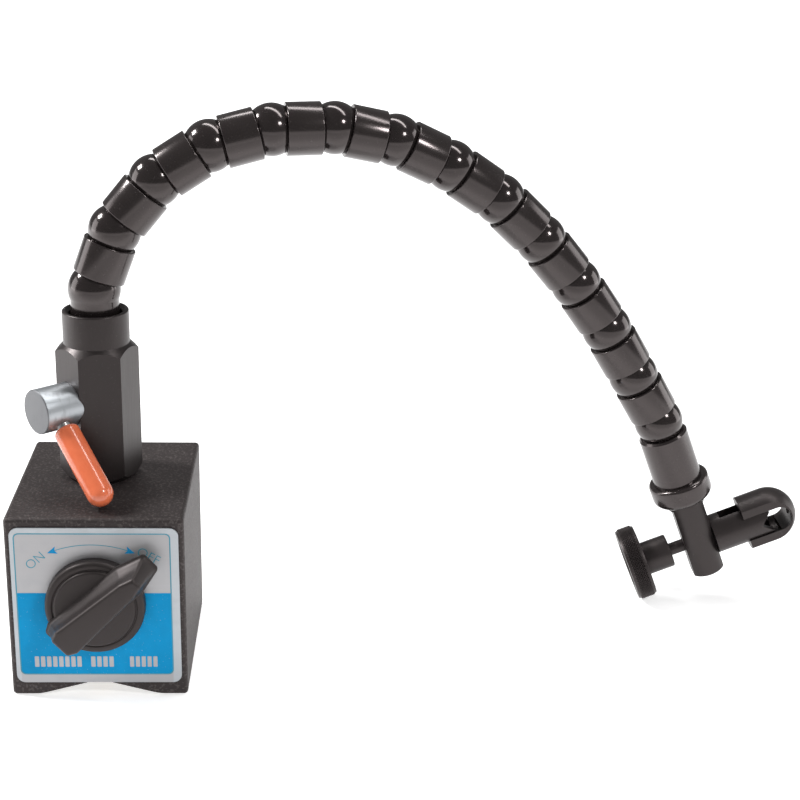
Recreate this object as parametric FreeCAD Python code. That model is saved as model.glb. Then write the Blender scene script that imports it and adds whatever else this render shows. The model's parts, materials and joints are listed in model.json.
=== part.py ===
import FreeCAD, Part
import os
from math import acos, cos, pi, radians, sin, tan

# Flexible-arm indicator holder on a switchable magnetic base.
# Millimetres, +Z up. The origin is the middle of the base's underside, the knob faces -Y and the
# arm reaches towards +X.

V = FreeCAD.Vector
X, Y, Z = V(1, 0, 0), V(0, 1, 0), V(0, 0, 1)

# ---- magnetic base ----
BASE_WIDTH, BASE_DEPTH, BASE_HEIGHT = 50.0, 60.0, 55.0
BASE_EDGE = 1.2
GROOVE_WIDTH, GROOVE_DEPTH, GROOVE_ROUND = 37.5, 5.0, 12.0
DIVIDER = 1.5
ROTOR_BORE_R, ROTOR_Z = 15.0, 29.8
ROTOR_R = 14.5
MAGNET_WIDTH = 12.0
END_PLUG = 5.0
DOWEL_R, DOWEL_LENGTH = 2.0, 20.0
LOW_DOWEL_IN, LOW_DOWEL_Z, HIGH_DOWEL_IN, HIGH_DOWEL_Z = 10.0, 9.2, 8.0, 49.5
ROTOR_WEB, ROTOR_END_PLAY, REAR_WALL = 2.0, 0.4, 1.5
LABEL_WIDTH, LABEL_HEIGHT, LABEL_Z, LABEL_THICK, LABEL_CORNER = 46.8, 48.0, 28.4, 0.5, 2.5
LABEL_HOLE_R = 4.6

# ---- switch knob ----
SPINDLE_R = 4.0
KNOB_R, KNOB_THICK, KNOB_GAP, KNOB_RIM = 14.0, 4.6, 0.3, 1.8
KNOB_PIN_R, KNOB_PIN_LENGTH = 1.0, 18.0
GRIP_POINTER, GRIP_TAIL, GRIP_ROOT, GRIP_CREST, GRIP_HEIGHT = 22.0, 14.6, 10.5, 6.6, 8.3
KNOB_REST = 45.0

# ---- post ----
POST_X, POST_Y = -1.65, 4.0
HEX_FLATS, HEX_TURN = 20.6, 10.5
HEX_BOTTOM, HEX_TOP, HEX_CHAMFER = BASE_HEIGHT, 96.0, 2.6
COLLAR_R, COLLAR_TOP = 9.5, 105.4
COLLAR_BORE_R, COLLAR_FLOOR = 7.7, 97.5
COLLAR_EDGE, COLLAR_MOUTH = 0.5, 0.9
PULL_BORE_R, PULL_BORE_FLOOR = 6.2, 66.0
STUD_R, STUD_IN_BASE, STUD_IN_POST = 4.0, 9.0, 9.0

# ---- arm ----
PITCH = 18.06
BALL_R, BALL_BORE_R = 7.55, 2.6
SLEEVE_R, SLEEVE_LENGTH, SLEEVE_BORE_R, SLEEVE_EDGE = 7.6, 10.2, 3.0, 0.35
SEAT_GAP = 0.04
FIRST_BALL_Z = 111.4
SPIGOT_R, SPIGOT_TOP, NECK_R = 7.65, 102.5, 7.0
ROPE_MOUTH_R, ROPE_MOUTH_FROM, ROPE_MOUTH_TO = 4.2, 2.0, 7.1
ARM_TURN = 9.21
BENDS = [20.6, 19.4, 18.3, 18.1, 13.2, 12.9, 13.3, 8.7, 9.4, 6.3, 4.3, 4.0, 0.8, 9.3]
ROPE_R = 1.2
ROPE_START_Z, ROPE_PAST_LAST = 82.0, 17.5

# ---- lock lever ----
LEVER_Z, LEVER_OUT = 78.9, 21.0
HEAD_R, CAM_R, CAM_THROW, JOURNAL_R = 6.5, 3.2, 0.5, 2.6
CAM_HALF_LENGTH, CAM_LOW_ANGLE = 4.8, 30.0
SHAFT_FIT = 0.05
CLIP_WIDTH, CLIP_GROOVE, CLIP_OUT, CLIP_SLOT = 0.7, 0.5, 1.3, 2.4
LEVER_OFFSET, LEVER_DROP = 15.2, 49.0
GRIP_R, GRIP_START, GRIP_END = 3.8, 7.4, 29.4
ROD_R, ROD_START = 2.0, 1.5
PULL_BELOW, PULL_ABOVE, PULL_FIT = 9.0, 8.0, 0.08
SOCKET_R, SOCKET_ABOVE = 3.4, 11.0

# ---- end of the arm ----
TUBE_R, TUBE_RIM, TUBE_END, TUBE_EDGE = 7.65, 4.4, 21.0, 0.6
SPIGOT_OUT, SPIGOT_OUT_R = 1.3, 6.35
FERRULE_R, FERRULE_AT, FERRULE_LENGTH, FERRULE_BORE = 3.6, 12.0, 6.0, 5.56
NUT_R, NUT_END, NUT_TOP_EDGE, NUT_LOW_EDGE = 9.55, 28.3, 1.2, 2.3
NUT_BORE_R, NUT_THROAT_R, NUT_LIP = 6.4, 4.5, 3.7
SWIVEL_R, SWIVEL_HEAD_R, SWIVEL_HEAD, SWIVEL_GAP = 4.4, 6.2, 2.0, 0.15
BODY_R, BODY_END, BODY_FLAT, FLAT_BELOW_TOP = 6.0, 55.6, 4.9, 2.0
SCREW_AT, SCREW_TURN = 44.7, 6.6
SHANK_R, HUB_R = 2.0, 5.3
SHANK_END, TANG_R, THUMB_DISH_R, THUMB_DISH = 16.5, 3.0, 7.5, 0.6
HEAD_FACE, HEAD_BACK, HUB_END, THUMB_R = -24.2, -18.3, -9.7, 11.9
JAW_R, JAW_BORE_R, JAW_BORE_START, JAW_LIP, JAW_VEE = 6.25, 4.1, 8.0, 23.6, 20.2
HOOK_R, HOOK_START, HOOK_BEND, HOOK_HALF_WIDTH = 8.7, 15.2, 23.7, 5.5
HOOK_TAB, DRAW_BAR_START, WINDOW_END = 3.8, 10.2, 26.0
STEM_R, STEM_AT = 4.05, 26.1

POST = V(POST_X, POST_Y, 0)
FRONT = -BASE_DEPTH / 2
REAR = BASE_DEPTH / 2


def cylinder(radius, start, end):
    """A round bar between two points."""
    return Part.makeCylinder(radius, (end - start).Length, start, end - start)


def cone(start, radius_1, end, radius_2):
    return Part.makeCone(radius_1, radius_2, (end - start).Length, start, end - start)


def box(low, high):
    size = high - low
    return Part.makeBox(size.x, size.y, size.z, low)


def prism(points, along):
    """A closed outline pushed along a vector."""
    wire = Part.makePolygon(points + [points[0]])
    return Part.Face(wire).extrude(along)


def placed(shape, origin, x_axis, z_axis):
    """A shape drawn about the origin, moved so that its X and Z lie along the given axes."""
    y_axis = z_axis.cross(x_axis)
    matrix = FreeCAD.Matrix(
        x_axis.x, y_axis.x, z_axis.x, origin.x,
        x_axis.y, y_axis.y, z_axis.y, origin.y,
        x_axis.z, y_axis.z, z_axis.z, origin.z,
        0, 0, 0, 1,
    )
    moved = shape.copy()
    moved.Placement = FreeCAD.Placement(matrix)
    return moved


def save(name, *shapes):
    """Write one node's STEP file: a single solid, or a group of separate ones."""
    solids = [solid for shape in shapes for solid in shape.Solids]
    whole = solids[0] if len(solids) == 1 else Part.makeCompound(solids)
    if not whole.isValid():
        print("not valid:", name)
    whole.exportStep("parts/" + name + ".step")
    print(name, "solids", len(solids), "volume", round(whole.Volume, 1))


# ---------------------------------------------------------------- magnetic base

def base_block():
    """The whole block with its V-groove, before it is split into two poles."""
    block = box(V(-BASE_WIDTH / 2, FRONT, 0), V(BASE_WIDTH / 2, REAR, BASE_HEIGHT))
    block = block.makeFillet(BASE_EDGE, block.Edges)
    half = GROOVE_WIDTH / 2
    slope = GROOVE_DEPTH / half
    below = 1.0
    outer = half + below / slope
    groove = prism(
        [V(-outer, FRONT - 1, -below), V(outer, FRONT - 1, -below), V(0, FRONT - 1, GROOVE_DEPTH)],
        V(0, BASE_DEPTH + 2, 0),
    )
    apex = [e for e in groove.Edges if abs(e.CenterOfMass.z - GROOVE_DEPTH) < 0.01]
    groove = groove.makeFillet(GROOVE_ROUND, apex)
    return block.cut(groove)


def base_bores():
    rotor = cylinder(ROTOR_BORE_R, V(0, FRONT - 1, ROTOR_Z), V(0, REAR + 1, ROTOR_Z))
    top = POST + Z * (BASE_HEIGHT + 1)
    stud = cylinder(STUD_R, POST + Z * (BASE_HEIGHT - STUD_IN_BASE), top)
    return [rotor, stud]


def dowels():
    """Four cross dowels that locate the two poles on each other."""
    rows = [(LOW_DOWEL_IN, LOW_DOWEL_Z), (HIGH_DOWEL_IN, HIGH_DOWEL_Z)]
    half = X * (DOWEL_LENGTH / 2)
    places = [V(0, y, z) for inset, z in rows for y in (FRONT + inset, REAR - inset)]
    return [cylinder(DOWEL_R, place - half, place + half) for place in places]


def make_base():
    block = base_block()
    pins = dowels()
    for hole in base_bores() + pins:
        block = block.cut(hole)
    far = 100.0
    left = box(V(-far, -far, -far), V(-DIVIDER / 2, far, far))
    right = box(V(DIVIDER / 2, -far, -far), V(far, far, far))
    middle = box(V(-DIVIDER / 2, -far, -far), V(DIVIDER / 2, far, far))
    save("pole_left", block.common(left))
    save("pole_right", block.common(right))
    save("pole_divider", block.common(middle))
    save("tie_dowels", *pins)

    bearing = SPINDLE_R + SHAFT_FIT
    front = cylinder(ROTOR_BORE_R, V(0, FRONT, ROTOR_Z), V(0, FRONT + END_PLUG, ROTOR_Z))
    front = front.cut(cylinder(bearing, V(0, FRONT - 1, ROTOR_Z), V(0, 0, ROTOR_Z)))
    save("front_bushing", front)
    rear = cylinder(ROTOR_BORE_R, V(0, REAR - END_PLUG, ROTOR_Z), V(0, REAR, ROTOR_Z))
    socket = cylinder(bearing, V(0, 0, ROTOR_Z), V(0, REAR - REAR_WALL, ROTOR_Z))
    rear = rear.cut(socket)
    save("rear_plug", rear)

    plate = box(
        V(-LABEL_WIDTH / 2, FRONT - LABEL_THICK, LABEL_Z - LABEL_HEIGHT / 2),
        V(LABEL_WIDTH / 2, FRONT, LABEL_Z + LABEL_HEIGHT / 2),
    )
    corners = [e for e in plate.Edges if abs(e.tangentAt(e.FirstParameter).y) > 0.9]
    plate = plate.makeFillet(LABEL_CORNER, corners)
    hole = cylinder(LABEL_HOLE_R, V(0, FRONT - 2, ROTOR_Z), V(0, 0, ROTOR_Z))
    save("label_plate", plate.cut(hole))


# ---------------------------------------------------------------- switch

def grip_outline(half, tail, pointer, tip, y):
    """Outline of the knob's grip at one depth: square at the tail, cut to a point at the tip."""
    return Part.makePolygon(
        [
            V(-half, y, -tail), V(half, y, -tail), V(half, y, pointer - tip),
            V(half - tip, y, pointer), V(-half + tip, y, pointer), V(-half, y, pointer - tip),
            V(-half, y, -tail),
        ]
    )


def on_rotor(radius, start, end):
    """A round bar on the rotor's axis, between two depths."""
    return cylinder(radius, V(0, start, ROTOR_Z), V(0, end, ROTOR_Z))


def make_switch():
    """The knob and the magnet rotor that it turns."""
    back = FRONT + END_PLUG + ROTOR_END_PLAY
    stop = REAR - END_PLUG - ROTOR_END_PLAY
    knob_back = FRONT - LABEL_THICK - KNOB_GAP
    knob_face = knob_back - KNOB_THICK
    spindle_end = knob_face - 2.0

    spindle = on_rotor(ROTOR_R, back, back + ROTOR_WEB).fuse(on_rotor(SPINDLE_R, spindle_end, back))
    journal = on_rotor(ROTOR_R, stop - ROTOR_WEB, stop)
    journal = journal.fuse(on_rotor(SPINDLE_R, stop, REAR - REAR_WALL - 0.5))
    core_start, core_end = back + ROTOR_WEB, stop - ROTOR_WEB
    core = on_rotor(ROTOR_R, core_start, core_end)
    slab = box(
        V(-MAGNET_WIDTH / 2, core_start, ROTOR_Z - ROTOR_BORE_R),
        V(MAGNET_WIDTH / 2, core_end, ROTOR_Z + ROTOR_BORE_R),
    )

    disc = on_rotor(KNOB_R, knob_back, knob_face)
    rim = [e for e in disc.Edges if e.Closed and abs(e.CenterOfMass.y - knob_face) < 0.1]
    disc = disc.makeFillet(KNOB_RIM, rim)
    low = grip_outline(GRIP_ROOT / 2, GRIP_TAIL, GRIP_POINTER, 3.0, knob_back - 1.0)
    crest_tail, crest_pointer = GRIP_TAIL - 2.0, GRIP_POINTER - 4.0
    high = grip_outline(GRIP_CREST / 2, crest_tail, crest_pointer, 2.0, knob_face - GRIP_HEIGHT)
    grip = Part.makeLoft([low, high], True, True)
    grip.rotate(V(0, 0, 0), Y, KNOB_REST)
    grip.translate(Z * ROTOR_Z)
    across = V(cos(radians(KNOB_REST)), 0, -sin(radians(KNOB_REST))) * (KNOB_PIN_LENGTH / 2)
    pin_middle = V(0, knob_back - KNOB_THICK / 2, ROTOR_Z)
    pin = cylinder(KNOB_PIN_R, pin_middle - across, pin_middle + across)
    socket = on_rotor(SPINDLE_R, knob_back + 1.0, spindle_end)

    save("knob", disc.fuse(grip).removeSplitter().cut(socket).cut(pin))
    save("spindle", spindle.cut(pin))
    save("rear_journal", journal)
    save("magnet", core.common(slab))
    save("rotor_irons", core.cut(slab))
    save("knob_pin", pin)


# ---------------------------------------------------------------- post and lock lever

FACE = radians(210 + HEX_TURN)
LEVER_AXIS = V(cos(FACE), sin(FACE), 0)
ACROSS = V(-sin(FACE), cos(FACE), 0)
LEVER_MID = POST + Z * LEVER_Z


def hexagon(low, high):
    radius = HEX_FLATS / 2 / cos(radians(30))
    angles = [radians(60 * k + HEX_TURN) for k in range(6)]
    corners = [POST + V(radius * cos(a), radius * sin(a), low) for a in angles]
    return prism(corners, Z * (high - low))


def make_post():
    """The hexagonal post: both ends turned to a cone, and a bored collar on top."""
    corner_r = HEX_FLATS / 2 / cos(radians(30))
    cone_r = corner_r - HEX_CHAMFER
    bottom, top = POST + Z * HEX_BOTTOM, POST + Z * HEX_TOP
    rise = Z * HEX_CHAMFER
    turned = cylinder(corner_r, bottom + rise, top - rise)
    turned = turned.fuse(
        [cone(bottom, cone_r, bottom + rise, corner_r), cone(top - rise, corner_r, top, cone_r)]
    )
    post = hexagon(HEX_BOTTOM, HEX_TOP).common(turned)
    rim = POST + Z * COLLAR_TOP
    collar = cylinder(COLLAR_R, top - Z, rim)
    top_edge = [e for e in collar.Edges if abs(e.CenterOfMass.z - COLLAR_TOP) < 0.01]
    post = post.fuse(collar.makeFillet(COLLAR_EDGE, top_edge))
    cuts = [
        cylinder(COLLAR_BORE_R, POST + Z * COLLAR_FLOOR, rim + Z),
        cone(rim - Z * COLLAR_MOUTH, COLLAR_BORE_R, rim + Z * 0.1, COLLAR_BORE_R + 1.0),
        cylinder(PULL_BORE_R, POST + Z * PULL_BORE_FLOOR, rim),
        cylinder(STUD_R, POST, bottom + Z * STUD_IN_POST),
        cylinder(HEAD_R + SHAFT_FIT, LEVER_MID, LEVER_MID + LEVER_AXIS * HEX_FLATS),
        cylinder(JOURNAL_R + SHAFT_FIT, LEVER_MID, LEVER_MID - LEVER_AXIS * HEX_FLATS),
    ]
    for cut in cuts:
        post = post.cut(cut)
    save("post", post)
    save("post_stud", cylinder(STUD_R, bottom - Z * STUD_IN_BASE, bottom + Z * STUD_IN_POST))


def on_shaft(radius, start, end):
    """A round bar on the lever shaft's axis, between two distances out from the post's middle."""
    return cylinder(radius, LEVER_MID + LEVER_AXIS * start, LEVER_MID + LEVER_AXIS * end)


def make_lever():
    """Eccentric shaft, its lever and dipped grip, and the ring that keeps the shaft in the post."""
    wall = HEX_FLATS / 2
    head_in = PULL_BORE_R + 0.4
    groove_start = -wall - 0.25
    groove_end = groove_start - CLIP_WIDTH - 0.1
    shaft_end = groove_end - 0.75

    head = on_shaft(HEAD_R, head_in, LEVER_OUT)
    outer = [e for e in head.Edges if (e.CenterOfMass - LEVER_MID).Length > LEVER_OUT - 0.1]
    head = head.makeFillet(0.5, outer)
    low = radians(CAM_LOW_ANGLE)
    cam_offset = (ACROSS * sin(low) - Z * cos(low)) * CAM_THROW
    cam = on_shaft(CAM_R, -CAM_HALF_LENGTH, head_in + 0.5)
    cam.translate(cam_offset)
    journal = on_shaft(JOURNAL_R, shaft_end, 1 - CAM_HALF_LENGTH)
    neck = on_shaft(JOURNAL_R - CLIP_GROOVE, -HEX_FLATS, 0)
    groove = on_shaft(JOURNAL_R + CLIP_OUT, groove_end, groove_start).cut(neck)
    shaft = head.fuse([cam, journal]).cut(groove)

    drop = radians(LEVER_DROP)
    reach = ACROSS * sin(drop) - Z * cos(drop)
    root = LEVER_MID + LEVER_AXIS * LEVER_OFFSET
    rod = cylinder(ROD_R, root + reach * ROD_START, root + reach * (GRIP_END - 2))
    grip = cylinder(GRIP_R, root + reach * GRIP_START, root + reach * GRIP_END)
    grip = grip.fuse(Part.makeSphere(GRIP_R, root + reach * GRIP_END)).removeSplitter()
    mouth = [e for e in grip.Edges if e.Closed and (e.CenterOfMass - root).Length < GRIP_START + 0.1]
    grip = grip.makeFillet(1.2, mouth)

    ring = on_shaft(JOURNAL_R + CLIP_OUT, groove_end + 0.05, groove_start - 0.05).cut(neck)
    gap = box(V(-CLIP_SLOT / 2, -HEX_FLATS, -HEX_FLATS), V(CLIP_SLOT / 2, HEX_FLATS, 0))
    save("cam_shaft", shaft.cut(rod))
    save("lever_rod", rod)
    save("lever_grip", grip.cut(rod))
    save("shaft_clip", ring.cut(placed(gap, LEVER_MID, ACROSS, Z)))


def make_puller():
    """The block round the eccentric that pulls the arm's wire rope."""
    low, high = LEVER_MID - Z * PULL_BELOW, LEVER_MID + Z * PULL_ABOVE
    rope_start, socket_top = POST + Z * ROPE_START_Z, LEVER_MID + Z * SOCKET_ABOVE
    block = cylinder(PULL_BORE_R - PULL_FIT, low, high)
    half_wide = CAM_R + CAM_THROW + 0.15
    half_high = CAM_R + 0.12
    lowest_cam = -CAM_THROW * cos(radians(CAM_LOW_ANGLE))
    slot = box(
        V(-half_wide, -HEX_FLATS, lowest_cam - half_high),
        V(half_wide, HEX_FLATS, lowest_cam + half_high),
    )
    slot = slot.makeFillet(1.0, [e for e in slot.Edges if abs(e.tangentAt(e.FirstParameter).y) > 0.9])
    block = block.cut(placed(slot, LEVER_MID, ACROSS, Z))
    socket = cylinder(SOCKET_R, rope_start, socket_top)
    save("pull_block", block.cut(socket))
    save("rope_socket", socket.cut(cylinder(ROPE_R, rope_start, socket_top)))


# ---------------------------------------------------------------- arm

OUT = V(cos(radians(ARM_TURN)), sin(radians(ARM_TURN)), 0)
SIDE = V(-sin(radians(ARM_TURN)), cos(radians(ARM_TURN)), 0)


def heading(angle):
    """Direction in the arm's plane, measured from straight up."""
    return OUT * sin(radians(angle)) + Z * cos(radians(angle))


def arm_route():
    """Ball centres, and the heading of the run that leaves each ball."""
    centres, headings = [POST + Z * FIRST_BALL_Z], []
    for bend in BENDS:
        headings.append((headings[-1] if headings else 0.0) + bend)
        centres.append(centres[-1] + heading(headings[-1]) * PITCH)
    return centres[:-1], headings


CENTRES, HEADINGS = arm_route()


def upright(shape, origin, angle):
    """A shape drawn about +Z, stood along a heading of the arm's plane."""
    z_axis = heading(angle)
    return placed(shape, origin, SIDE.cross(z_axis), z_axis)


def ball():
    """A bored ball, drawn about its centre."""
    bore = cylinder(BALL_BORE_R, Z * -2 * BALL_R, Z * 2 * BALL_R)
    return Part.makeSphere(BALL_R).cut(bore)


def base_ball():
    """The arm's first ball: its neck and spigot stand in the post's collar, and its bore opens upwards."""
    spigot = cylinder(SPIGOT_R, Z * (COLLAR_FLOOR - FIRST_BALL_Z), Z * (SPIGOT_TOP - FIRST_BALL_Z))
    neck = cylinder(NECK_R, Z * (SPIGOT_TOP - FIRST_BALL_Z), V(0, 0, 0))
    shape = Part.makeSphere(BALL_R).fuse([spigot, neck])
    shape = shape.cut(cylinder(BALL_BORE_R, Z * -2 * BALL_R, Z * 2 * BALL_R))
    widening = (ROPE_MOUTH_R - BALL_BORE_R) / (ROPE_MOUTH_TO - ROPE_MOUTH_FROM)
    beyond = 2.0
    mouth_end = ROPE_MOUTH_TO + beyond
    return shape.cut(
        cone(Z * ROPE_MOUTH_FROM, BALL_BORE_R, Z * mouth_end, ROPE_MOUTH_R + widening * beyond)
    )


def sleeve():
    """A tube with a spherical seat in each end, drawn about its middle."""
    half = SLEEVE_LENGTH / 2
    shape = cylinder(SLEEVE_R, Z * -half, Z * half)
    shape = shape.makeFillet(SLEEVE_EDGE, [e for e in shape.Edges if e.Closed])
    shape = shape.cut(cylinder(SLEEVE_BORE_R, Z * -SLEEVE_LENGTH, Z * SLEEVE_LENGTH))
    for way in (1, -1):
        shape = shape.cut(Part.makeSphere(BALL_R + SEAT_GAP, Z * (PITCH / 2 * way)))
    return shape


def make_arm():
    save("ball_01", base_ball().translate(CENTRES[0]))
    plain_ball, plain_sleeve = ball(), sleeve()
    for i in range(1, len(CENTRES)):
        bisector = (HEADINGS[i - 1] + HEADINGS[i]) / 2
        save(f"ball_{i + 1:02d}", upright(plain_ball, CENTRES[i], bisector))
        middle = (CENTRES[i - 1] + CENTRES[i]) * 0.5
        save(f"sleeve_{i:02d}", upright(plain_sleeve, middle, HEADINGS[i - 1]))


def make_rope():
    """The wire rope: straight runs joined by tangent arcs at the balls."""
    last = heading(HEADINGS[-1])
    points = [POST + Z * ROPE_START_Z] + CENTRES + [CENTRES[-1] + last * ROPE_PAST_LAST]
    edges, start = [], points[0]
    for before, corner, after in zip(points, points[1:], points[2:]):
        way_in = (corner - before).normalize()
        way_out = (after - corner).normalize()
        turn = acos(max(-1.0, min(1.0, way_in.dot(way_out))))
        shorter = min((corner - before).Length, (after - corner).Length)
        reach = 0.45 * shorter
        radius = reach / tan(turn / 2)
        enter, leave = corner - way_in * reach, corner + way_out * reach
        inward = (way_out - way_in).normalize()
        middle = corner + inward * (radius / cos(turn / 2) - radius)
        edges.append(Part.LineSegment(start, enter).toShape())
        edges.append(Part.Arc(enter, middle, leave).toShape())
        start = leave
        print("rope arc radius", round(radius, 1))
    edges.append(Part.LineSegment(start, points[-1]).toShape())
    path = Part.Wire(edges)
    section = Part.Wire(Part.makeCircle(ROPE_R, points[0], Z))
    rope = path.makePipeShell([section], True, True)
    ideal = pi * ROPE_R**2 * path.Length
    print("rope length", round(path.Length, 1), "volume ratio", round(rope.Volume / ideal, 4))
    save("wire_rope", rope)


# ---------------------------------------------------------------- end of the arm

TUBE_ANGLE = HEADINGS[-1]
TUBE_AXIS = heading(TUBE_ANGLE)
LAST = CENTRES[-1]
RIGHT = SIDE.cross(TUBE_AXIS) * -1


def along_tube(radius, start, end):
    """A round bar on the end tube's axis, between two distances from the last ball."""
    return cylinder(radius, Z * start, Z * end)


def make_tube():
    """End tube with the last ball seat, the swivel's union nut and the rope's end ferrule."""
    thread_end = TUBE_END + SPIGOT_OUT
    tube = along_tube(TUBE_R, TUBE_RIM, TUBE_END)
    rim = [e for e in tube.Edges if e.Closed and abs(e.CenterOfMass.z - TUBE_RIM) < 0.01]
    tube = tube.makeChamfer(TUBE_EDGE, rim)
    tube = tube.fuse(along_tube(SPIGOT_OUT_R, TUBE_END - 1, thread_end))
    tube = tube.cut(Part.makeSphere(BALL_R + SEAT_GAP))
    tube = tube.cut(along_tube(SLEEVE_BORE_R, 0, TUBE_END))
    tube = tube.cut(along_tube(SWIVEL_R, FERRULE_AT, thread_end + 1))
    save("end_tube", upright(tube, LAST, TUBE_ANGLE))

    nut = along_tube(NUT_R, TUBE_END, NUT_END)
    for place, radius in ((TUBE_END, NUT_TOP_EDGE), (NUT_END, NUT_LOW_EDGE)):
        edge = [e for e in nut.Edges if e.Closed and abs(e.CenterOfMass.z - place) < 0.01]
        nut = nut.makeFillet(radius, edge)
    nut = nut.cut(along_tube(NUT_BORE_R, TUBE_END - 1, TUBE_END + NUT_LIP))
    nut = nut.cut(along_tube(NUT_THROAT_R, TUBE_END, NUT_END + 1))
    save("collar_nut", upright(nut, LAST, TUBE_ANGLE))

    ferrule = along_tube(FERRULE_R, FERRULE_AT, FERRULE_AT + FERRULE_LENGTH)
    ferrule = ferrule.cut(along_tube(ROPE_R + 0.06, FERRULE_AT, FERRULE_AT + FERRULE_BORE))
    save("rope_ferrule", upright(ferrule, LAST, TUBE_ANGLE))


def screw_frame():
    """Local axes of the clamp: X along the screw, Z back up the arm, origin on the screw's axis."""
    turn = radians(SCREW_TURN)
    along = RIGHT * cos(turn) - SIDE * sin(turn)
    return LAST + TUBE_AXIS * SCREW_AT, along, TUBE_AXIS * -1


def in_clamp(shape):
    origin, along, up = screw_frame()
    return placed(shape, origin, along, up)


def on_screw(radius, start, end):
    """A round bar on the thumb screw's axis, in the clamp's local axes."""
    return cylinder(radius, X * start, X * end)


def make_clamp_body():
    """Round body with two flats, its swivel neck and head up inside the union nut."""
    top = SCREW_AT - NUT_END - 0.3
    bottom = SCREW_AT - BODY_END
    head_top = SCREW_AT - TUBE_END - SPIGOT_OUT - SWIVEL_GAP
    body = cylinder(BODY_R, Z * bottom, Z * top)
    edge = [e for e in body.Edges if e.Closed and e.CenterOfMass.z < bottom + 0.1]
    body = body.makeFillet(1.0, edge)
    waste = box(V(BODY_FLAT, -BODY_R, bottom - 1), V(BODY_R + 1, BODY_R, top - FLAT_BELOW_TOP))
    body = body.cut(waste).cut(waste.mirror(V(0, 0, 0), X))
    body = body.fuse(cylinder(SWIVEL_R, Z * (top - 0.5), Z * head_top))
    body = body.fuse(cylinder(SWIVEL_HEAD_R, Z * (head_top - SWIVEL_HEAD), Z * head_top))
    save("clamp_body", in_clamp(body.cut(on_screw(SHANK_R + 0.1, -20, 20))))


def make_jaw():
    """Bored sleeve with a cross slot for the draw hook and a V in its lips for the stem."""
    start, beyond = BODY_FLAT + 0.1, JAW_LIP + 10.0
    jaw = on_screw(JAW_R, start, JAW_LIP).cut(on_screw(SHANK_R + 0.1, 0, beyond))
    jaw = jaw.cut(on_screw(JAW_BORE_R, JAW_BORE_START, beyond))
    slot_half = HOOK_TAB / 2 + 0.2
    jaw = jaw.cut(box(V(JAW_BORE_START + 0.5, -slot_half, -10), V(beyond, slot_half, 10)))
    mouth = beyond - JAW_VEE
    outline = [V(JAW_VEE, -20, 0), V(beyond, -20, mouth), V(beyond, -20, -mouth)]
    save("clamp_jaw", in_clamp(jaw.cut(prism(outline, V(0, 40, 0)))))


def make_hook():
    """Hook with a round end that pulls the stem into the jaw's V, on a bar inside the jaw."""
    low = V(HOOK_START, 0, 0)
    shoulder, bend = V(HOOK_START, 0, HOOK_R), V(HOOK_BEND, 0, HOOK_R)
    half_turn = V(HOOK_BEND + HOOK_R * cos(radians(45)), 0, HOOK_R * sin(radians(45)))
    tip = V(HOOK_BEND + HOOK_R, 0, 0)
    edges = [
        Part.LineSegment(low, shoulder),
        Part.LineSegment(shoulder, bend),
        Part.Arc(bend, half_turn, tip),
        Part.LineSegment(tip, low),
    ]
    outline = Part.Wire([edge.toShape() for edge in edges])
    hook = Part.Face(outline).revolve(V(0, 0, 0), X, 360)
    hook = hook.cut(on_screw(JAW_R + 0.2, 0, WINDOW_END))
    hook = hook.cut(box(V(0, -20, -STEM_R), V(STEM_AT, 20, STEM_R)))
    hook = hook.cut(cylinder(STEM_R, V(STEM_AT, -20, 0), V(STEM_AT, 20, 0)))
    sides = box(V(0, -HOOK_HALF_WIDTH, -20), V(50, HOOK_HALF_WIDTH, 20))
    tab_high = HOOK_R - 1.5
    tab = box(
        V(HOOK_START, -HOOK_TAB / 2, -tab_high), V(HOOK_START + 4.0, HOOK_TAB / 2, tab_high)
    )
    draw_bar = on_screw(JAW_BORE_R - 0.2, DRAW_BAR_START, HOOK_START + 4.0)
    hook = hook.common(sides).fuse([tab, draw_bar])
    save("draw_hook", in_clamp(hook.cut(on_screw(SHANK_R + SHAFT_FIT, 0, 40))))


def make_thumb_screw():
    """Thumb screw: shank and hub in one piece, and a knurled head pressed on its tang."""
    tang = on_screw(TANG_R, HEAD_FACE + 1.0, HEAD_BACK)
    hub = on_screw(HUB_R, HEAD_BACK, HUB_END)
    hub = hub.makeFillet(0.5, [e for e in hub.Edges if e.Closed and e.CenterOfMass.x > HUB_END - 0.1])
    screw = hub.fuse([on_screw(SHANK_R, HUB_END - 1, SHANK_END), tang])
    save("thumb_screw", in_clamp(screw))
    head = on_screw(THUMB_R, HEAD_FACE, HEAD_BACK)
    head = head.makeChamfer(0.6, [e for e in head.Edges if e.Closed])
    head = head.cut(on_screw(THUMB_DISH_R, HEAD_FACE, HEAD_FACE + THUMB_DISH))
    save("thumb_head", in_clamp(head.cut(tang)))


def print_frame():
    """The places and axes that the joints need."""
    for i, (centre, angle) in enumerate(zip(CENTRES, HEADINGS)):
        print("ball", i + 1, [round(c, 4) for c in centre], "heading", round(angle, 3))
    origin, along, up = screw_frame()
    print("screw origin", origin, "along", along, "up", up)


os.makedirs("parts", exist_ok=True)
make_base()
make_switch()
make_post()
make_lever()
make_puller()
make_arm()
make_rope()
make_tube()
make_clamp_body()
make_jaw()
make_hook()
make_thumb_screw()
print_frame()
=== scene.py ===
import json
import math

import bmesh
import bpy
from mathutils import Matrix, Vector


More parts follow.
